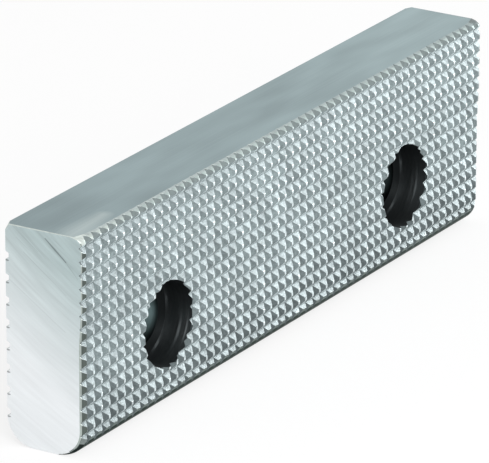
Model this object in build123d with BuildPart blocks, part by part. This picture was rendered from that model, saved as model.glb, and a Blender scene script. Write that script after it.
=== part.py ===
from build123d import *
from math import radians, tan
import os

# Reversible vise jaw plate, ground from one bar of tool steel. Millimetres.
# X runs along the plate, the pyramid teeth face -Y, the grooved grip faces +Y, Z is up.
# The origin is at the middle of the underside.

# Plate
length = 113.0
thickness = 13.0
height = 33.0

# Edges
bottom_round = 4.4
top_front_chamfer = 0.5
end_front_chamfer = 0.5

# Pyramid teeth on the front: two sets of crossed V-grooves leave a small flat on each tooth
tooth_pitch = 2.0
tooth_depth = 0.75
tooth_groove_angle = 90.0
tooth_top_margin = 1.6
tooth_end_margin = 1.5

# Grooved grip on the back: flat-bottomed grooves along the plate
grip_pitch = 3.35
grip_depth = 0.6
grip_mouth = 1.3
grip_floor = 0.7
grip_top_margin = 4.7
grip_bottom_margin = 4.5

# Screw holes, bored for the screw heads from both faces because the plate is fitted either way round
screw_end_distance = 22.75
screw_height = 13.0
screw_hole_diameter = 8.5
head_bore_diameter = 12.8
head_seat_web = 3.4

# Places that follow from the sizes
front = -thickness / 2
back = thickness / 2
round_radius = min(bottom_round, 0.45 * thickness)
head_bore_depth = (thickness - head_seat_web) / 2
screw_spacing = length - 2 * screw_end_distance
run_out = 1.0


def grooves_on(span, pitch):
    """How many grooves of one pitch lie on a span, with the first at its start."""
    return max(int(span / pitch + 0.001) + 1, 1)


tooth_columns = grooves_on(length - 2 * tooth_end_margin, tooth_pitch)
tooth_rows = grooves_on(height - tooth_top_margin - round_radius / 2, tooth_pitch)
grip_rows = grooves_on(height - grip_top_margin - grip_bottom_margin, grip_pitch)
top_tooth_groove = height - tooth_top_margin
top_grip_groove = height - grip_top_margin


def tooth_groove():
    """Points of one V-groove across the front, its mouth carried outside the plate."""
    half_mouth = (tooth_depth + run_out) * tan(radians(tooth_groove_angle / 2))
    outside = front - run_out
    return (front + tooth_depth, 0), (outside, half_mouth), (outside, -half_mouth)


def grip_groove():
    """Points of one flat-bottomed groove across the back, its mouth carried outside the plate."""
    flare = (grip_mouth - grip_floor) / 2 * (grip_depth + run_out) / grip_depth
    half_floor = grip_floor / 2
    half_mouth = half_floor + flare
    floor = back - grip_depth
    outside = back + run_out
    return (floor, half_floor), (floor, -half_floor), (outside, -half_mouth), (outside, half_mouth)


# Jaw plate
with BuildPart() as jaw_plate:
    # Blank: a bar with a rounded underside, a chamfered top front edge and broken end edges
    with BuildSketch(Plane.YZ.offset(-length / 2)) as section:
        with Locations((0, height / 2)):
            Rectangle(thickness, height)
        fillet(section.vertices().group_by(Axis.Y)[0], round_radius)
        chamfer(section.vertices().group_by(Axis.Y)[-1].sort_by(Axis.X)[0], top_front_chamfer)
    extrude(amount=length)
    for end in jaw_plate.faces().filter_by(Axis.X):
        chamfer(end.edges().filter_by_position(Axis.Y, front, -round_radius / 4), end_front_chamfer)

    # Rows: tooth grooves along the front and grip grooves along the back
    with BuildSketch(Plane.YZ.offset(-length / 2 - run_out)) as comb:
        with Locations((0, height / 2)):
            Rectangle(thickness, height + 2 * run_out)
        with Locations([(0, top_tooth_groove - row * tooth_pitch) for row in range(tooth_rows)]):
            Polygon(*tooth_groove(), align=None, mode=Mode.SUBTRACT)
        with Locations([(0, top_grip_groove - row * grip_pitch) for row in range(grip_rows)]):
            Polygon(*grip_groove(), align=None, mode=Mode.SUBTRACT)
    extrude(amount=length + 2 * run_out, mode=Mode.INTERSECT)

    # Columns: grooves down the front, which cross the rows into pyramids
    with BuildSketch(Plane.XY.offset(-run_out)) as plan:
        Rectangle(length + 2 * run_out, thickness)
        with Locations(Location((0, 0), 90)):
            with GridLocations(1, tooth_pitch, 1, tooth_columns):
                Polygon(*tooth_groove(), align=None, mode=Mode.SUBTRACT)
    extrude(amount=height + 2 * run_out, mode=Mode.INTERSECT)

    # Screw holes
    with Locations(Plane.XZ.offset(-front) * Location((0, screw_height))):
        with GridLocations(screw_spacing, 1, 2, 1):
            CounterBoreHole(
                screw_hole_diameter / 2, head_bore_diameter / 2, head_bore_depth, depth=thickness
            )
    with Locations(Plane(origin=(0, back, screw_height), x_dir=(1, 0, 0), z_dir=(0, 1, 0))):
        with GridLocations(screw_spacing, 1, 2, 1):
            Hole(head_bore_diameter / 2, depth=head_bore_depth)

os.makedirs("parts", exist_ok=True)
jaw_plate.part.label = "jaw_plate"
export_step(jaw_plate.part, "parts/jaw_plate.step")
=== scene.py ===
# %% [markdown]
# # A reversible vise jaw plate
# The jaw plate of a machine vise is a bar of tool steel, ground on its outside, with pyramid
# teeth on one long face and a grooved grip on the other. Two screws hold it to the vise.
# Everything below is in metres and in the frame of the CAD model: X runs along the plate, the
# teeth face -Y and Z is up, with the origin in the middle of the underside.

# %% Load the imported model
from math import cos, pi, radians, sin

import bmesh
import bpy
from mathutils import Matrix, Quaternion, Vector


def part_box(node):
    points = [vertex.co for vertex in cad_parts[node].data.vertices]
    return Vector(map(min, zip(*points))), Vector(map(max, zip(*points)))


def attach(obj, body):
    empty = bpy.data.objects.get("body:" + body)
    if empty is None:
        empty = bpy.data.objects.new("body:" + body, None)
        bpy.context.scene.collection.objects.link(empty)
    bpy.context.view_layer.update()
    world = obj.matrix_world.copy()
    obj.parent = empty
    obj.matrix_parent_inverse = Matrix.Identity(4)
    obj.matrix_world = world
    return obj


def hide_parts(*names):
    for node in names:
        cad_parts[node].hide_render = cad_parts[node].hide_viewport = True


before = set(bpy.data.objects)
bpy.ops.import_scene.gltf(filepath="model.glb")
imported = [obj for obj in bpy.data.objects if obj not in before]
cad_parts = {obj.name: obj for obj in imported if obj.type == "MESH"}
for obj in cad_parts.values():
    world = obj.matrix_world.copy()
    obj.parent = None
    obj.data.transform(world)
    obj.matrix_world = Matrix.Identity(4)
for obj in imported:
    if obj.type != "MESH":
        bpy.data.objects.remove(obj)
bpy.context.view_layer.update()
MM = 0.001
low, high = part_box("jaw_plate")
length, thickness, height = high - low
front, back = low.y, high.y
print("plate, mm:", [round(side / MM, 2) for side in (length, thickness, height)])

# %% [markdown]
# ## Camera
# The photograph was taken from far away with a long lens, so the plate's edges hardly converge.
# A camera with the same long lens at the same place gives the same drawing of it. Its direction
# is written as two angles, as a photographer would say them, and a very small roll.

# %% Camera
scene = bpy.context.scene
scene.view_settings.view_transform = "Standard"

view_azimuth, view_elevation, view_roll = radians(-58.83), radians(20.37), radians(0.12)
camera_place = Vector((-696.7, -419.7, 317.1)) * MM

camera = bpy.data.objects.new("camera", bpy.data.cameras.new("camera"))
scene.collection.objects.link(camera)
scene.camera = camera
to_camera = Vector((
    sin(view_azimuth) * cos(view_elevation),
    -cos(view_azimuth) * cos(view_elevation),
    sin(view_elevation),
))
camera.rotation_mode = "QUATERNION"
camera.rotation_quaternion = to_camera.to_track_quat("Z", "Y") @ Quaternion((0, 0, 1), view_roll)
camera.location = camera_place
camera.data.sensor_width = 36.0
camera.data.lens = 434.6
camera.data.clip_start, camera.data.clip_end = 0.05, 10.0

# %% [markdown]
# ## A short way to wire nodes
# Every material, the world and the Geometry Nodes tree below are built from nodes in code. A
# small helper makes a node, sets its inputs by name or number, and plugs other nodes into it, so
# that a tree reads as one line per node.

# %% Node helper
def node(tree, kind, inputs=None, **settings):
    """A node with its settings, and with values or other nodes' outputs as its inputs."""
    made = tree.nodes.new(kind)
    for name, value in settings.items():
        setattr(made, name, value)
    for name, value in (inputs or {}).items():
        if isinstance(value, bpy.types.NodeSocket):
            tree.links.new(value, made.inputs[name])
        else:
            made.inputs[name].default_value = value
    return made

def math_node(tree, operation, *values):
    """The output of a Math node for one or two values."""
    return node(tree, "ShaderNodeMath", dict(enumerate(values)), operation=operation).outputs[0]

def vector_math(tree, operation, *values, **scale):
    """The outputs of a Vector Math node for one or two vectors, or for a vector and its Scale."""
    inputs = {**dict(enumerate(values)), **scale}
    return node(tree, "ShaderNodeVectorMath", inputs, operation=operation).outputs

def new_group(name, kind, inputs, outputs):
    """An empty node group with named sockets, and its input and output nodes."""
    tree = bpy.data.node_groups.new(name, kind)
    for label, socket, value in inputs:
        made = tree.interface.new_socket(label, in_out="INPUT", socket_type=socket)
        if value is not None:
            made.default_value = value
    for label, socket in outputs:
        tree.interface.new_socket(label, in_out="OUTPUT", socket_type=socket)
    return tree, tree.nodes.new("NodeGroupInput").outputs, tree.nodes.new("NodeGroupOutput")

# %% [markdown]
# ## A short way to make solids
# The blank and all the cutters are drawn the same way: as rings of points, each joined to the
# next one, with a flat face over the first and the last.

# %% Solid helper
def skin(name, *solids):
    """An object with one closed mesh, in which each solid is a list of rings of points."""
    bm = bmesh.new()
    for solid in solids:
        rings = [[bm.verts.new(point) for point in ring] for ring in solid]
        for near, far in zip(rings, rings[1:]):
            for i in range(len(near)):
                j = (i + 1) % len(near)
                bm.faces.new((near[i], near[j], far[j], far[i]))
        bm.faces.new(rings[0])
        bm.faces.new(rings[-1])
    bmesh.ops.recalc_face_normals(bm, faces=bm.faces)
    mesh = bpy.data.meshes.new(name)
    bm.to_mesh(mesh)
    bm.free()
    return bpy.data.objects.new(name, mesh)

# %% [markdown]
# ## Floor and light
# Bare steel has hardly any colour of its own: it shows what stands around it. The plate lies on
# white paper in a white room, with a large soft lamp low on the right that gives the flats of
# the teeth their shine, a weak one above it, and one near the camera. The room is white to the
# camera and in reflections, and a weaker fill otherwise, so that the lamps still model the shape.

# %% Floor and light
def seen_directly(tree):
    """1 for rays from the camera, from a reflection or through glass, and 0 for the rest."""
    path = tree.nodes.new("ShaderNodeLightPath").outputs
    either = math_node(tree, "MAXIMUM", path["Is Camera Ray"], path["Is Glossy Ray"])
    return math_node(tree, "MAXIMUM", either, path["Is Transmission Ray"])

def white_room(fill):
    """A world that is white where it is seen, and a fill light otherwise."""
    scene.world = bpy.data.worlds.new("white room")
    scene.world.use_nodes = True
    tree = scene.world.node_tree
    tree.nodes.clear()
    level = node(tree, "ShaderNodeMapRange", {"Value": seen_directly(tree), "To Min": fill, "To Max": 1.0})
    room = node(tree, "ShaderNodeBackground", {"Color": (1, 1, 1, 1), "Strength": level.outputs[0]})
    node(tree, "ShaderNodeOutputWorld", {"Surface": room.outputs[0]})

def soft_lamp(name, toward, distance, size, power):
    """A square area lamp that stands that way from the plate and looks at it."""
    lamp = bpy.data.objects.new(name, bpy.data.lights.new(name, "AREA"))
    lamp.data.size, lamp.data.energy = size, power
    way = Vector(toward).normalized()
    lamp.location = Vector((0, 0, height / 2)) + way * distance
    lamp.rotation_mode = "QUATERNION"
    lamp.rotation_quaternion = way.to_track_quat("Z", "Y")
    scene.collection.objects.link(lamp)
    return lamp

def white_paper(half_side, colour, glow):
    """The floor. Where it is seen, a share of plain white is laid over its shadows."""
    mesh = bpy.data.meshes.new("paper")
    corners = [(-1, -1), (1, -1), (1, 1), (-1, 1)]
    mesh.from_pydata([(x * half_side, y * half_side, 0) for x, y in corners], [], [(0, 1, 2, 3)])
    paper = bpy.data.objects.new("paper", mesh)
    scene.collection.objects.link(paper)
    material = bpy.data.materials.new("white paper")
    material.use_nodes = True
    tree = material.node_tree
    tree.nodes.clear()
    lit = node(tree, "ShaderNodeBsdfDiffuse", {"Color": (colour, colour, colour, 1)})
    plain = node(tree, "ShaderNodeEmission", {"Color": (1, 1, 1, 1), "Strength": 1.0})
    share = math_node(tree, "MULTIPLY", seen_directly(tree), glow)
    mixed = node(tree, "ShaderNodeMixShader", {0: share, 1: lit.outputs[0], 2: plain.outputs[0]})
    node(tree, "ShaderNodeOutputMaterial", {"Surface": mixed.outputs[0]})
    mesh.materials.append(material)

white_room(fill=0.56)
soft_lamp("high right softbox", (0.80, -0.35, 0.49), 0.85, 0.42, 0.9)
soft_lamp("low right softbox", (0.90, -0.40, 0.15), 0.85, 0.42, 5.6)
soft_lamp("camera side softbox", (-0.60, -0.60, 0.50), 0.60, 0.30, 2.3)
white_paper(half_side=3.0, colour=0.95, glow=0.8)

# %% [markdown]
# ## Blank
# The plate starts as a ground bar, rounded along both lower edges. Its section is a ring of
# points, and the rings stand along X. The last three rings at each end make the broken edge,
# which turns in two facets. Every point has its own break, because a grinder leans more on one
# edge than on another: on the front the break is wider low down. Towards the ends the chamfer
# along the top front edge is worn wider too, and the back corners of the top are knocked off.

# %% Blank
corner_round = 4.4 * MM
round_steps = 20
light_break = 0.15 * MM
# how far the broken edge reaches along X and inward: on the chamfer, down the front at some
# heights, and on the round below. The two shares are for the chamfer: how much of its break is
# left at its upper edge, and how far the break also drops.
top_break = (0.75 * MM, 0.45 * MM)
least_top_break = 0.3
top_break_drop = 0.4
front_breaks = ((22.0 * MM, 0.8 * MM, 0.48 * MM), (17.0 * MM, 1.05 * MM, 0.86 * MM))
lowest_break = (1.05 * MM, 0.86 * MM)
break_facets = ((0.0, 1.0), (0.13, 0.6), (1.0, 0.0))
no_facets = ((0.0, 0.0),)
chamfer_shares = (0.0, 0.32, 0.68, 1.0)
chamfer_sizes = (
    # how far from the end, how far the top front chamfer reaches back and down, its crown, and
    # how far the break of the top back edge reaches in and down
    (0.0, 1.8, 1.05, 0.2, 0.62, 0.95), (1.2, 1.47, 0.78, 0.15, 0.15, 0.15),
    (2.0, 1.25, 0.6, 0.12, 0.15, 0.15), (4.5, 1.0, 0.5, 0.05, 0.15, 0.15),
)

def section_ring(reach_back, reach_down, crown, back_in, back_down):
    """Points of the section as (Y, Z, the break's reach along X, its reach in Y, in Z)."""
    ring = []
    for share in chamfer_shares:
        lift = crown * 4 * share * (1 - share)
        y = front + reach_back * (1 - share - lift)
        z = height - reach_down * (share - lift)
        leaned_on = least_top_break + (1 - least_top_break) * share
        along, inward = (reach * leaned_on for reach in top_break)
        ring.append((y, z, along, inward if share else 0.0, -top_break_drop * inward))
    ring += [(front, z, along, inward, 0.0) for z, along, inward in front_breaks]
    for centre, start in ((front + corner_round, pi), (back - corner_round, 1.5 * pi)):
        for step in range(round_steps + 1):
            turned = step / round_steps
            y, z = cos(start + turned * pi / 2), sin(start + turned * pi / 2)
            share = (1 - turned) ** 0.5 if centre < 0 else 0.0
            along, inward = (light_break + (reach - light_break) * share for reach in lowest_break)
            place = (centre + corner_round * y, corner_round + corner_round * z)
            ring.append((*place, along, -y * inward, -z * inward))
    ring.append((back, height - back_down, light_break, -light_break, -light_break / 2))
    ring.append((back - back_in, height, light_break, -light_break / 2, -light_break))
    return ring

def end_rings(side):
    """The rings of one end, from the end inwards. The side is -1 or 1."""
    rings = []
    for from_end, reach_back, reach_down, crown, back_in, back_down in chamfer_sizes:
        ring = section_ring(reach_back * MM, reach_down * MM, crown, back_in * MM, back_down * MM)
        for along, inward in break_facets if from_end == 0 else no_facets:
            rings.append([
                (
                    side * (length / 2 - from_end * MM - along * reach),
                    y + inward * reach_y, z + inward * reach_z,
                ) for y, z, reach, reach_y, reach_z in ring
            ])
    return rings

plate = skin("jaw_plate_ground", end_rings(-1) + end_rings(1)[::-1])
scene.collection.objects.link(plate)
print("blank:", len(plate.data.polygons), "faces")

# %% [markdown]
# ## Teeth and grip grooves
# On the real plate a V-shaped wheel cuts groove after groove, first one way and then across, and
# pyramids with a small flat on top are what is left. The grip on the back is a set of shallow
# flat-bottomed grooves. One Geometry Nodes tree does each pass: it repeats a cutting bar along a
# line and takes all the bars off the plate in one Boolean. The bars' steel stays on the cut.

# %% Groove tree
def bake(piece):
    """Turns the piece and its modifiers into a plain mesh."""
    bpy.context.view_layer.update()
    evaluated = piece.evaluated_get(bpy.context.evaluated_depsgraph_get())
    made = bpy.data.meshes.new_from_object(evaluated)
    piece.modifiers.clear()
    piece.data = made

def grooves_tree():
    """Repeats a cutter along a line and cuts it out of the plate."""
    tree, given, result = new_group("Row of grooves", "GeometryNodeTree", (
        ("Plate", "NodeSocketGeometry", None), ("Cutter", "NodeSocketObject", None),
        ("Grooves", "NodeSocketInt", 1), ("First groove", "NodeSocketVector", None),
        ("Step", "NodeSocketVector", None), ("Cut steel", "NodeSocketMaterial", None),
    ), (("Plate", "NodeSocketGeometry"),))
    line = node(tree, "GeometryNodeMeshLine", {
        "Count": given["Grooves"], "Start Location": given["First groove"], "Offset": given["Step"],
    })
    cutter = node(tree, "GeometryNodeObjectInfo", {"Object": given["Cutter"]})
    bars = node(tree, "GeometryNodeInstanceOnPoints", {
        "Points": line.outputs["Mesh"], "Instance": cutter.outputs["Geometry"],
    })
    solid_bars = node(tree, "GeometryNodeRealizeInstances", {"Geometry": bars.outputs["Instances"]})
    steel_bars = node(tree, "GeometryNodeSetMaterial", {
        "Geometry": solid_bars.outputs["Geometry"], "Material": given["Cut steel"],
    })
    cut = node(tree, "GeometryNodeMeshBoolean", {
        "Mesh 1": given["Plate"], "Mesh 2": steel_bars.outputs["Geometry"],
    }, operation="DIFFERENCE", solver="EXACT")
    tree.links.new(cut.outputs["Mesh"], result.inputs["Plate"])
    return tree

def bar(name, profile, along, sections):
    """A cutting bar along X or Z. Its profile is across the groove and into the plate, and each
    section of it is a place along the bar and how much deeper it cuts there."""
    rings = []
    for reach, deeper in sections:
        places = [(across, front + deep + deeper) for across, deep in profile]
        rings.append([(reach, y, across) if along == "X" else (across, y, reach) for across, y in places])
    return skin(name, rings)

def cut_row(piece, tree, inputs):
    """Runs the groove tree on the piece once and keeps the result as a plain mesh."""
    modifier = piece.modifiers.new(tree.name, "NODES")
    modifier.node_group = tree
    for item in tree.interface.items_tree:
        if item.in_out == "INPUT" and item.name in inputs:
            modifier[item.identifier] = inputs[item.name]
    bake(piece)

# %% [markdown]
# ## Cutting
# The V groove is a square bar turned on its corner, so its flanks stand at 90 degrees. Bars
# must not overlap their neighbours outside the plate, so their upper half is kept narrow. The
# wheel dug in a little where it entered each column at the top edge, so the columns run out
# deeper there and notch the chamfer.

# %% Cutting
tooth_pitch = 2.0 * MM
tooth_depth = 0.75 * MM
tooth_columns, tooth_rows = 56, 15
top_tooth_groove = height - 1.5 * MM
run_out = 0.2 * MM

steel_names = (
    "ground top", "scratched end", "corner with painted highlight", "end break with painted highlight", "end break with painted shade",
    "top edge with painted highlight", "dull top chamfer", "notch with painted shade",
    "tooth flat", "tooth flank", "tooth side", "underside of the teeth with painted light",
    "dark bore", "seat of the bore with painted shade", "through hole wall with painted light and shade",
    "grooved back", "lower round with painted shade", "lower round with deep painted shade",
)
steel = {name: bpy.data.materials.new(name) for name in steel_names}
for name in steel_names:
    plate.data.materials.append(steel[name])

groove_tree = grooves_tree()
widest = tooth_depth + run_out
v_groove = [(0, tooth_depth), (widest, -run_out), (0, -run_out - widest), (-widest, -run_out)]
dug_in, dug_from, above_plate = 0.3 * MM, height / 2 - 0.9 * MM, height / 2 + 0.9 * MM
full_length = ((-length, 0), (length, 0))
column_sections = ((-height, 0), (dug_from, 0), (above_plate, 2 * dug_in))
cut_row(plate, groove_tree, {
    "Cutter": bar("column cutter", v_groove, "Z", column_sections), "Grooves": tooth_columns,
    "First groove": ((1 - tooth_columns) / 2 * tooth_pitch, 0, height / 2),
    "Step": (tooth_pitch, 0, 0), "Cut steel": steel["tooth flank"],
})
cut_row(plate, groove_tree, {
    "Cutter": bar("row cutter", v_groove, "X", full_length), "Grooves": tooth_rows,
    "First groove": (0, 0, top_tooth_groove), "Step": (0, 0, -tooth_pitch),
    "Cut steel": steel["tooth flank"],
})
print("teeth cut:", len(plate.data.polygons), "faces")

grip_rows = 8
grip_pitch = 3.35 * MM
top_grip_groove = height - 4.7 * MM
grip_bottom, grip_outside = thickness - 0.6 * MM, thickness + run_out
grip_half_floor, grip_half_mouth = 0.35 * MM, 0.75 * MM
grip_groove = [
    (grip_half_floor, grip_bottom), (grip_half_mouth, grip_outside),
    (-grip_half_mouth, grip_outside), (-grip_half_floor, grip_bottom),
]
cut_row(plate, groove_tree, {
    "Cutter": bar("grip cutter", grip_groove, "X", full_length), "Grooves": grip_rows,
    "First groove": (0, 0, top_grip_groove), "Step": (0, 0, -grip_pitch),
    "Cut steel": steel["grooved back"],
})
print("grip cut:", len(plate.data.polygons), "faces")

# %% [markdown]
# ## Worn edges
# No real edge is sharp: handling and deburring leave a line of light along every corner. A very
# small Bevel on all edges of more than 30 degrees gives it. It comes before the holes are bored,
# because their rims cut the teeth into slivers, on which a Bevel would run wild.

# %% Worn edges
wear = plate.modifiers.new("worn edges", "BEVEL")
wear.limit_method = "ANGLE"
wear.angle_limit = radians(30)
wear.width = 0.035 * MM
wear.segments = 1
wear.use_clamp_overlap = False
bake(plate)
print("worn:", len(plate.data.polygons), "faces")

# %% [markdown]
# ## Bored holes
# Each screw hole is bored from both faces for the screw head and drilled through. The boring
# tool trembled: where it pressed harder it left a low ridge that dies out to both sides, and the
# corner at the seat is a little rounder there. The mouth is worn on its left. The cutter is drawn
# as rings round the hole's axis that come in at some turns, and one Boolean takes both holes off.

# %% Bored holes
hole_height = 13.0 * MM
head_radius = 6.4 * MM
screw_radius = 4.25 * MM
head_depth = 4.8 * MM
mouth = 0.35 * MM
ridge_steps = 6
bore_segments = 96
bores = (
    # place along X, and the ridges: depth, half width, height, and the turn where it is highest
    (-33.75, ((1.15, 0.3, 0.1, -26), (2.35, 0.45, 0.145, -29))),
    (33.75, ((2.0, 0.35, 0.1, -19), (2.75, 0.32, 0.045, -21))),
)
# how far above the seat, and how far the bore comes in there
seat_corner = ((0.55, 0.0), (0.3, 0.03), (0.0, 0.2))
mouth_turn, seat_turns = 180, (9, -57)
ridge_narrowness, seat_narrowness = 10, 20

def bore_rings(ridges):
    """(depth, radius, how far the ring comes in, round which turns, how narrowly) to the seat."""
    rings = [(-MM, head_radius, -mouth - MM, (mouth_turn,), 1), (mouth, head_radius, 0.0, (), 1)]
    for depth, half_width, rise, turn in ridges:
        for step in range(ridge_steps + 1):
            across = 2 * step / ridge_steps - 1
            share = (1 + cos(across * pi)) / 2
            place = (depth + across * half_width) * MM
            rings.append((place, head_radius, share * rise * MM, (turn,), ridge_narrowness))
    for above, rise in seat_corner:
        rings.append((head_depth - above * MM, head_radius, rise * MM, seat_turns, seat_narrowness))
    return rings + [(head_depth, screw_radius, 0.0, (), 1)]

def bore(place, ridges):
    """The rings of one hole's cutter, the same from the front and from the back."""
    from_front = bore_rings(ridges)
    from_back = [(thickness - depth, *ring) for depth, *ring in reversed(from_front)]
    rings = []
    for depth, radius, rise, peaks, narrowness in from_front + from_back:
        ring = []
        for step in range(bore_segments):
            turn = 2 * pi * step / bore_segments
            near = max([cos(turn - radians(peak)) for peak in peaks] + [0.0])
            reach = radius - rise * near ** narrowness
            x, z = place * MM + reach * cos(turn), hole_height + reach * sin(turn)
            ring.append((x, front + depth, z))
        rings.append(ring)
    return rings

bore_cutter = skin("bore cutter", *(bore(place, ridges) for place, ridges in bores))
bore_cutter.data.materials.append(steel["dark bore"])
boring = plate.modifiers.new("bored holes", "BOOLEAN")
boring.operation = "DIFFERENCE"
boring.solver = "EXACT"
boring.material_mode = "TRANSFER"
boring.object = bore_cutter
bake(plate)
print("bored:", len(plate.data.polygons), "faces")

# %% [markdown]
# ## Which finish goes where
# The blank's own faces were ground in different set-ups, and they get their finishes by which
# way they face; on the broken edges, the top chamfer and the lower round several of these are
# lit and shaded copies of the steel, with painted highlights and painted shade. Faces that a
# cutter made already carry the cutter's steel, and on the teeth and in the holes some of them
# get painted light and some painted shade by which way they face. Where two finishes meet, the
# edge is kept sharp. How far a face faces one way is a number from -1 to 1, and the limits
# below are such numbers.

# %% Finishes by place
# how far from the ends the painted highlight and the painted shade on the top chamfer reach
painted_corner_reach = 1.6 * MM
faces_up, nearly_up = 0.985, 0.9
end_on, seat_on = 0.97, 0.9
half_turned, leaning, upright = 0.5, 0.3, 0.2
on_front, off_front = -0.6, -0.2
first_painted_shade_from, deep_painted_shade_from, notch_above = -0.25, -0.42, 0.1

def finish_of_end_break(way, place):
    """The finish of a broken edge at an end: a copy of the steel with painted shade or with a painted
    highlight.
    """
    # painted shade at the far end and where the break faces front and down, and a painted highlight on the
    # rest
    if place.x > 0 and place.z > top_tooth_groove:
        return "notch with painted shade"
    if place.x > 0 or (way.y < on_front and way.z < leaning):
        return "end break with painted shade"
    return "corner with painted highlight" if way.z > leaning else "end break with painted highlight"

def finish_of_blank(way, place):
    """The finish of a face that the blank brought with it."""
    side_break = abs(way.x) > half_turned and way.y > off_front and way.z < leaning
    if abs(way.x) > end_on or side_break:
        return "scratched end"
    # painted shade on faces that turn down: the lower round gets darker copies of the steel, the darkest
    # where it faces most down
    if way.z < first_painted_shade_from:
        return "lower round with deep painted shade" if way.z < deep_painted_shade_from else "lower round with painted shade"
    if abs(way.x) > leaning:
        return finish_of_end_break(way, place)
    if way.y > half_turned:
        return "grooved back"
    if way.z > faces_up:
        return "ground top"
    if place.z < top_tooth_groove or way.z < upright:
        return "tooth flat"
    # painted shade on the top chamfer at the far end
    if place.x > length / 2 - painted_corner_reach:
        return "notch with painted shade"
    # a painted highlight on the top chamfer at the near corner
    if place.x < painted_corner_reach - length / 2 and place.y < front + painted_corner_reach:
        return "corner with painted highlight"
    # a painted highlight along the top edge, on the facets that face nearly up
    return "top edge with painted highlight" if way.z > nearly_up else "dull top chamfer"

def finish_of_cut(name, way, place):
    """The finish of a face that a cutter of that steel made."""
    # painted light and painted shade in the holes, on the through walls and the seats
    if name == "dark bore" and abs(place.y) < thickness / 2 - head_depth:
        return "through hole wall with painted light and shade"
    if name == "dark bore" and abs(place.y) > thickness / 2 - mouth:
        return "tooth side"
    if name == "dark bore" and abs(way.y) > seat_on:
        return "seat of the bore with painted shade"
    # painted shade on the faces that the columns dug into the chamfer
    if name == "tooth flank" and abs(way.x) > half_turned:
        return "notch with painted shade" if way.z > notch_above else "tooth side"
    # painted light on the undersides of the teeth
    if name == "tooth flank" and way.z < -half_turned:
        return "underside of the teeth with painted light"
    return name

slots = [material.name for material in plate.data.materials]
for face in plate.data.polygons:
    name, way, place = slots[face.material_index], face.normal, face.center
    if name in ("tooth flank", "dark bore", "grooved back"):
        name = finish_of_cut(name, way, place)
    else:
        name = finish_of_blank(way, place)
    face.material_index = slots.index(name)
plate.data.shade_smooth()
plate.data.set_sharp_from_angle(angle=radians(20))
bm = bmesh.new()
bm.from_mesh(plate.data)
for edge in bm.edges:
    if len({face.material_index for face in edge.link_faces}) > 1:
        edge.smooth = False
bm.to_mesh(plate.data)
bm.free()
print("steels:", slots)

# %% [markdown]
# ## Marks that several finishes share
# Grinding leaves fine lines along the wheel's way, handling leaves a few long scratches, no tooth
# is quite as bright as the next, and painted light and painted shade make the plate lighter or
# darker with height, its foot darker than its top. The scratch group also lays painted shadows and
# a painted sheen. Each of these is a shader node group that gives a number, and the steels below
# use it with their own values.

# %% Shared marks
def fine_lines():
    """Light and dark lines across a place whose Stretch is large across them and small along."""
    tree, given, result = new_group("Fine lines", "ShaderNodeTree", (
        ("Place", "NodeSocketVector", None), ("Stretch", "NodeSocketVector", None),
        ("Detail", "NodeSocketFloat", 3.0), ("Dark", "NodeSocketFloat", 0.9),
        ("Light", "NodeSocketFloat", 1.1),
    ), (("Factor", "NodeSocketFloat"), ("Height", "NodeSocketFloat")))
    stretched = vector_math(tree, "MULTIPLY", given["Place"], given["Stretch"])[0]
    noise = node(tree, "ShaderNodeTexNoise", {
        "Vector": stretched, "Scale": 1.0, "Detail": given["Detail"], "Roughness": 0.62,
    }).outputs["Fac"]
    factor = node(tree, "ShaderNodeMapRange", {
        "Value": noise, "From Min": 0.3, "From Max": 0.7, "To Min": given["Dark"], "To Max": given["Light"],
    })
    tree.links.new(factor.outputs[0], result.inputs["Factor"])
    tree.links.new(noise, result.inputs["Height"])
    return tree

def by_height():
    """A number that goes from one value low on the plate to another high on it, or along a way."""
    tree, given, result = new_group("By height", "ShaderNodeTree", (
        ("Place", "NodeSocketVector", None), ("Way", "NodeSocketVector", (0, 0, 1)),
        ("Low", "NodeSocketFloat", 0.0), ("High", "NodeSocketFloat", height),
        ("At low", "NodeSocketFloat", 0.0), ("At high", "NodeSocketFloat", 1.0),
    ), (("Factor", "NodeSocketFloat"),))
    reached = vector_math(tree, "DOT_PRODUCT", given["Place"], given["Way"])["Value"]
    factor = node(tree, "ShaderNodeMapRange", {
        "Value": reached, "From Min": given["Low"], "From Max": given["High"],
        "To Min": given["At low"], "To Max": given["At high"],
    })
    tree.links.new(factor.outputs[0], result.inputs["Factor"])
    return tree

def tooth_to_tooth():
    """A number that is the same all over one tooth and another on the next."""
    tree, given, result = new_group("Tooth to tooth", "ShaderNodeTree", (
        ("Place", "NodeSocketVector", None), ("Dark", "NodeSocketFloat", 0.9),
        ("Light", "NodeSocketFloat", 1.1),
    ), (("Factor", "NodeSocketFloat"),))
    valley = (tooth_pitch / 2, 0, top_tooth_groove)
    moved = vector_math(tree, "SUBTRACT", given["Place"], valley)[0]
    counted = vector_math(tree, "SCALE", moved, Scale=1 / tooth_pitch)[0]
    whole = vector_math(tree, "FLOOR", counted)[0]
    flat = vector_math(tree, "MULTIPLY", whole, (1, 0, 1))[0]
    number = node(tree, "ShaderNodeTexWhiteNoise", {"Vector": flat}).outputs["Value"]
    factor = node(tree, "ShaderNodeMapRange", {
        "Value": number, "To Min": given["Dark"], "To Max": given["Light"],
    })
    tree.links.new(factor.outputs[0], result.inputs["Factor"])
    return tree

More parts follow.
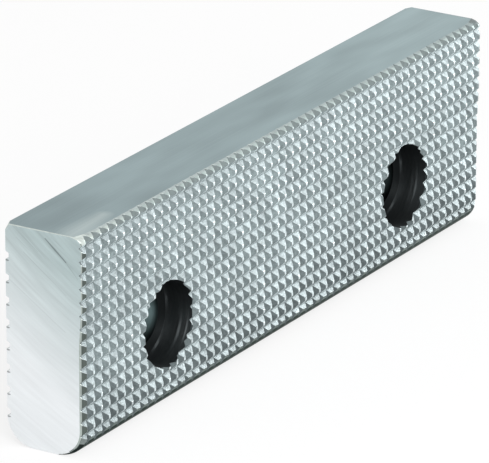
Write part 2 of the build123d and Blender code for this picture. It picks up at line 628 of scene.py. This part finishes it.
def wheel_arcs():
    """The place as a distance from a centre in the YZ plane and an angle round it."""
    tree, given, result = new_group("Wheel arcs", "ShaderNodeTree", (
        ("Place", "NodeSocketVector", None), ("Centre", "NodeSocketVector", None),
    ), (("Place", "NodeSocketVector"),))
    moved = vector_math(tree, "SUBTRACT", given["Place"], given["Centre"])[0]
    flat = vector_math(tree, "MULTIPLY", moved, (0, 1, 1))[0]
    distance = vector_math(tree, "LENGTH", flat)["Value"]
    split = node(tree, "ShaderNodeSeparateXYZ", {0: flat}).outputs
    angle = math_node(tree, "ARCTAN2", split["Y"], split["Z"])
    joined = node(tree, "ShaderNodeCombineXYZ", {"X": distance, "Y": angle})
    tree.links.new(joined.outputs[0], result.inputs["Place"])
    return tree

def scratch_and_painted_streak_tree():
    """1 away from a straight line, and lower on it: it darkens scratches and painted shadows, and places a
    painted sheen. It fades out towards its ends.
    """
    tree, given, result = new_group("Scratch and painted streak", "ShaderNodeTree", (
        ("Place", "NodeSocketVector", None), ("From", "NodeSocketVector", None),
        ("To", "NodeSocketVector", None), ("Half width", "NodeSocketFloat", 0.1 * MM),
        ("Dark", "NodeSocketFloat", 0.7),
    ), (("Factor", "NodeSocketFloat"),))
    whole = vector_math(tree, "SUBTRACT", given["To"], given["From"])[0]
    here = vector_math(tree, "SUBTRACT", given["Place"], given["From"])[0]
    along = vector_math(tree, "DOT_PRODUCT", here, whole)["Value"]
    square = vector_math(tree, "DOT_PRODUCT", whole, whole)["Value"]
    share = node(tree, "ShaderNodeClamp", {0: math_node(tree, "DIVIDE", along, square)}).outputs[0]
    nearest = vector_math(tree, "SCALE", whole, Scale=share)[0]
    away = vector_math(tree, "DISTANCE", here, nearest)["Value"]
    from_middle = math_node(tree, "ABSOLUTE", math_node(tree, "SUBTRACT", share, 0.5))
    width = math_node(tree, "MULTIPLY", given["Half width"], math_node(tree, "SUBTRACT", 1.0, from_middle))
    factor = node(tree, "ShaderNodeMapRange", {
        "Value": away, "From Min": 0.0, "From Max": width, "To Min": given["Dark"], "To Max": 1.0,
    })
    tree.links.new(factor.outputs[0], result.inputs["Factor"])
    return tree

lines_group, height_group, tooth_group = fine_lines(), by_height(), tooth_to_tooth()
arcs_group, scratches_and_painted_streaks = wheel_arcs(), scratch_and_painted_streak_tree()

# %% [markdown]
# ## Steel
# One steel, in several finishes. Each starts from a metal with its own colour and roughness, and
# several are lit and shaded copies of it, with painted highlights and painted shade. The marks are
# factors that make its colour lighter or darker, some of them painted light and painted shade, and
# the fine lines also raise bumps.

# %% Steel
def start_steel(name, roughness):
    """A metal with that roughness: its tree, its surface and the place on the plate."""
    material = steel[name]
    material.use_nodes = True
    surface = material.node_tree.nodes["Principled BSDF"]
    surface.inputs["Metallic"].default_value = 1.0
    surface.inputs["Roughness"].default_value = roughness
    place = node(material.node_tree, "ShaderNodeTexCoord").outputs["Object"]
    return material.node_tree, surface, place

def mark(tree, group, place, **inputs):
    """The outputs of a shared group at that place, with its other inputs by name."""
    made = node(tree, "ShaderNodeGroup", node_tree=group)
    tree.links.new(place, made.inputs["Place"])
    for name, value in inputs.items():
        made.inputs[name.replace("_", " ")].default_value = value
    return made.outputs

def shade(tree, surface, colour, *factors):
    """The base colour, made lighter or darker by each factor."""
    for factor in factors:
        colour = vector_math(tree, "SCALE", colour, Scale=factor)[0]
    tree.links.new(colour, surface.inputs["Base Color"])

def fade(tree, factor, share, least=0.4):
    """The factor where the share is 1, and only the least part of its change where it is 0."""
    change = math_node(tree, "SUBTRACT", factor, 1.0)
    kept = math_node(tree, "MAXIMUM", share, least)
    return math_node(tree, "ADD", math_node(tree, "MULTIPLY", change, kept), 1.0)

def blend(tree, share, first, second):
    """A colour between two colours."""
    mixed = node(tree, "ShaderNodeMix", {0: share, 6: (*first, 1), 7: (*second, 1)}, data_type="RGBA")
    return mixed.outputs[2]

def roughen(tree, surface, bumps, depth):
    """Bumps of that depth, in metres."""
    bump = node(tree, "ShaderNodeBump", {"Height": bumps, "Distance": depth, "Strength": 1.0})
    tree.links.new(bump.outputs[0], surface.inputs["Normal"])

def along_x(tree, place, start, end):
    """0 at the start and 1 at the end, both along X and in metres."""
    x_place = node(tree, "ShaderNodeSeparateXYZ", {0: place}).outputs["X"]
    share = node(tree, "ShaderNodeMapRange", {"Value": x_place, "From Min": start, "From Max": end})
    return share.outputs[0]

def per_mm(across_x, across_y, across_z):
    """Stretch for fine lines: how many lines there are on a millimetre each way."""
    return (across_x / MM, across_y / MM, across_z / MM)

# %% The ground top
# rough enough that the lamps don't wash it out when they stand across from the viewer
tree, surface, place = start_steel("ground top", roughness=0.7)
surface.inputs["Specular Tint"].default_value = (0.5, 0.5, 0.5, 1)
lines = mark(tree, lines_group, place, Stretch=per_mm(0.03, 6, 6), Dark=0.96, Light=1.04)
clouds = mark(tree, lines_group, place, Stretch=per_mm(0.06, 0.2, 0.2), Detail=1.0, Dark=0.91, Light=1.09)
# a painted sheen: the top is lighter and warmer along a patch near the front left corner
off_the_painted_sheen = mark(
    tree, scratches_and_painted_streaks, place, From=(-62 * MM, -4.6 * MM, height), To=(-46.5 * MM, -3.4 * MM, height),
    Half_width=3.4 * MM, Dark=0.0,
)["Factor"]
along = along_x(tree, place, -length / 2, length / 2)
ground = blend(tree, along, (0.297, 0.361, 0.374), (0.355, 0.43, 0.442))
painted_sheen = blend(tree, off_the_painted_sheen, (1.37, 1.29, 1.25), (1, 1, 1))
colour = vector_math(tree, "MULTIPLY", ground, painted_sheen)[0]
shade(tree, surface, colour, lines["Factor"], clouds["Factor"])
roughen(tree, surface, lines["Height"], depth=0.002 * MM)

# %% The scratched end
end_scratches = (
    # from (Y, Z), to (Y, Z) in millimetres, half width, darkness
    ((-0.2, 32.0), (-3.6, 29.1), 0.24, 0.45), ((-3.0, 29.7), (-5.5, 27.0), 0.13, 0.8),
    ((3.4, 29.3), (-3.6, 24.2), 0.16, 0.84), ((5.8, 24.8), (-3.4, 18.7), 0.18, 0.88),
    ((5.4, 33.0), (1.0, 29.8), 0.12, 0.85), ((4.0, 32.6), (-0.3, 29.0), 0.1, 0.86),
    ((4.6, 31.3), (2.3, 29.6), 0.12, 0.88), ((-1.2, 32.4), (-3.4, 30.9), 0.12, 0.86),
)
# a painted shadow under the lower corner of each grip groove
first_notch_shadow = 27.58
grip_notch_shadows = tuple(
    ((5.9, first_notch_shadow - down), (6.4, first_notch_shadow - down), 0.22, 0.3)
    for down in (row * grip_pitch / MM for row in range(grip_rows))
)
far_end_painted_shade = 0.3
tree, surface, place = start_steel("scratched end", roughness=0.4)
arcs = mark(tree, arcs_group, place, Centre=(0, -45 * MM, 88 * MM))["Place"]
lines = mark(tree, lines_group, arcs, Stretch=(1.8 / MM, 8.0, 0), Detail=5.0, Dark=0.89, Light=1.09)
bands = mark(tree, lines_group, arcs, Stretch=(0.45 / MM, 4.0, 0), Detail=2.0, Dark=0.91, Light=1.08)
# the scratches, and the painted shadows under the grip grooves
scratches = []
for (from_y, from_z), (to_y, to_z), half_width, dark in end_scratches + grip_notch_shadows:
    scratches.append(mark(
        tree, scratches_and_painted_streaks, place, Half_width=half_width * MM, Dark=dark,
        From=(-length / 2, from_y * MM, from_z * MM), To=(-length / 2, to_y * MM, to_z * MM),
    )["Factor"])
# painted light: the end is much lighter low down and darker high up
up = mark(tree, height_group, place, Way=(0, -0.7, 1), Low=10 * MM, High=31 * MM)["Factor"]
colour = blend(tree, up, (0.845, 0.875, 0.893), (0.47, 0.565, 0.57))
# painted shade: the far end stands close to the lamps and is darkened, so that it isn't washed out there
far = math_node(tree, "MULTIPLY", along_x(tree, place, 0, length / 2), far_end_painted_shade)
painted_darkening = math_node(tree, "SUBTRACT", 1.0, far)
ground_lines, wide_bands = fade(tree, lines["Factor"], up), fade(tree, bands["Factor"], up)
shade(tree, surface, colour, ground_lines, wide_bands, *scratches, painted_darkening)
roughen(tree, surface, lines["Height"], depth=0.003 * MM)

# %% The teeth
# the darkest factor of the painted shade where the row grooves run out at the near end
run_out_painted_shade = 0.4
# each with its colour, its roughness, the spread from tooth to tooth and the painted shade at the foot
for name, colour, roughness, spread, foot in (
    ("tooth flat", (0.72, 0.805, 0.825), 0.4, 0.08, 0.85),
    ("tooth flank", (0.213, 0.246, 0.253), 0.4, 0.1, 0.92),
    ("tooth side", (0.239, 0.287, 0.295), 0.4, 0.12, 0.48),
    # painted light: the undersides are given a light colour, so that the row grooves don't show as dark
    # lines
    ("underside of the teeth with painted light", (0.62, 0.71, 0.72), 0.75, 0.12, 0.75),
):
    tree, surface, place = start_steel(name, roughness)
    own = mark(tree, tooth_group, place, Dark=1 - spread, Light=1 + spread)["Factor"]
    lines = mark(tree, lines_group, place, Stretch=per_mm(3.2, 3.2, 3.2), Detail=4.0, Dark=0.76, Light=1.24)
    clouds = mark(
        tree, lines_group, place, Stretch=per_mm(0.9, 0.9, 0.9), Detail=1.0, Dark=0.87, Light=1.11,
    )
    # painted shade: darker towards the foot
    painted_darkening = mark(tree, height_group, place, Low=3 * MM, High=14 * MM, At_low=foot)
    factors = [own, lines["Factor"], clouds["Factor"], painted_darkening["Factor"]]
    # painted light: the sides of the teeth are lighter high up
    if name == "tooth side":
        painted_lightening = mark(tree, height_group, place, Low=18 * MM, High=27 * MM, At_low=1.0, At_high=1.14)
        factors.append(painted_lightening["Factor"])
    if name == "tooth flank":
        # painted shade: a little darker low down and to the right
        low_down = mark(tree, height_group, place, Low=21 * MM, High=27 * MM, At_low=0.14, At_high=0.0)
        to_the_right = along_x(tree, place, 4 * MM, 20 * MM)
        low_right = math_node(tree, "MULTIPLY", to_the_right, low_down["Factor"])
        factors.append(math_node(tree, "SUBTRACT", 1.0, low_right))
        # painted shade: darker again where the row grooves run out at the near end
        inward = along_x(tree, place, 0.1 * MM - length / 2, 0.5 * MM - length / 2)
        gained = math_node(tree, "MULTIPLY", inward, 1 - run_out_painted_shade)
        factors.append(math_node(tree, "ADD", gained, run_out_painted_shade))
    shade(tree, surface, colour, *factors)
    roughen(tree, surface, lines["Height"], depth=0.03 * MM)

# %% The edges, the lower round, the back and the bores
across_steel, along_steel, round_bore = per_mm(2, 2, 0.5), per_mm(0.05, 3, 3), per_mm(0.4, 3, 0.4)
whole_plate, near_end_only = (-length / 2, length / 2), (-52 * MM, -40 * MM)
# each with a colour at the near end and one at the far end, its roughness and the run of its lines
for name, near_colour, far_colour, roughness, stretch in (
    # a painted highlight on the near corner
    ("corner with painted highlight", (0.6, 0.66, 0.63), (0.6, 0.66, 0.63), 0.45, across_steel),
    # a painted highlight and painted shade on the end breaks
    ("end break with painted highlight", (0.4, 0.45, 0.43), (0.4, 0.45, 0.43), 0.45, across_steel),
    ("end break with painted shade", (0.11, 0.13, 0.12), (0.11, 0.13, 0.12), 0.45, across_steel),
    # a painted highlight along the top edge
    ("top edge with painted highlight", (0.43, 0.49, 0.485), (0.34, 0.405, 0.405), 0.4, across_steel),
    # a painted highlight on the top chamfer near the near end
    ("dull top chamfer", (0.46, 0.52, 0.495), (0.38, 0.452, 0.44), 0.4, across_steel),
    # painted shade in the notches and at the far end of the top chamfer
    ("notch with painted shade", (0.138, 0.163, 0.163), (0.16, 0.19, 0.19), 0.4, across_steel),
    # painted shade on the lower round
    ("lower round with painted shade", (0.25, 0.285, 0.28), (0.28, 0.315, 0.31), 0.4, along_steel),
    ("lower round with deep painted shade", (0.03, 0.036, 0.035), (0.07, 0.08, 0.078), 0.35, along_steel),
    ("grooved back", (0.5, 0.53, 0.54), (0.5, 0.53, 0.54), 0.4, along_steel),
    # painted light on the near hole's through wall, and painted shade in the far one, in the bores and on
    # their seats
    ("through hole wall with painted light and shade", (0.35, 0.5, 0.51), (0.01, 0.012, 0.012), 0.35, round_bore),
    ("dark bore", (0.066, 0.075, 0.078), (0.066, 0.075, 0.078), 0.5, round_bore),
    ("seat of the bore with painted shade", (0.032, 0.037, 0.038), (0.032, 0.037, 0.038), 0.5, round_bore),
):
    tree, surface, place = start_steel(name, roughness)
    lines = mark(tree, lines_group, place, Stretch=stretch, Dark=0.85, Light=1.15)
    share = along_x(tree, place, *(near_end_only if name == "dull top chamfer" else whole_plate))
    colour = blend(tree, share, near_colour, far_colour)
    factors = [lines["Factor"]]
    if name == "through hole wall with painted light and shade":
        # painted shade: dark low down, and close to the seat
        low_down = mark(tree, height_group, place, Low=9.5 * MM, High=12 * MM, At_low=0.2)
        y_place = node(tree, "ShaderNodeSeparateXYZ", {0: place}).outputs["Y"]
        from_seat = {"Value": y_place, "From Min": -1.5 * MM, "From Max": -0.7 * MM, "To Min": 0.15}
        factors += [low_down["Factor"], node(tree, "ShaderNodeMapRange", from_seat).outputs[0]]
    shade(tree, surface, colour, *factors)
    roughen(tree, surface, lines["Height"], depth=0.004 * MM)
    # a darker edge tint adds to the painted shade of these finishes
    if name in ("lower round with painted shade", "lower round with deep painted shade", "end break with painted shade"):
        surface.inputs["Specular Tint"].default_value = (0.4, 0.44, 0.42, 1)
    if name in ("dark bore", "seat of the bore with painted shade"):
        surface.inputs["Coat Weight"].default_value = 0.3
        surface.inputs["Coat Roughness"].default_value = 0.25

# %% [markdown]
# ## Hand over
# The dressed plate stands for the CAD plate and rides on its only body. The sizes of both are
# kept side by side, so that they can be compared.

# %% Hand over
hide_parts("jaw_plate")
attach(plate, "root")
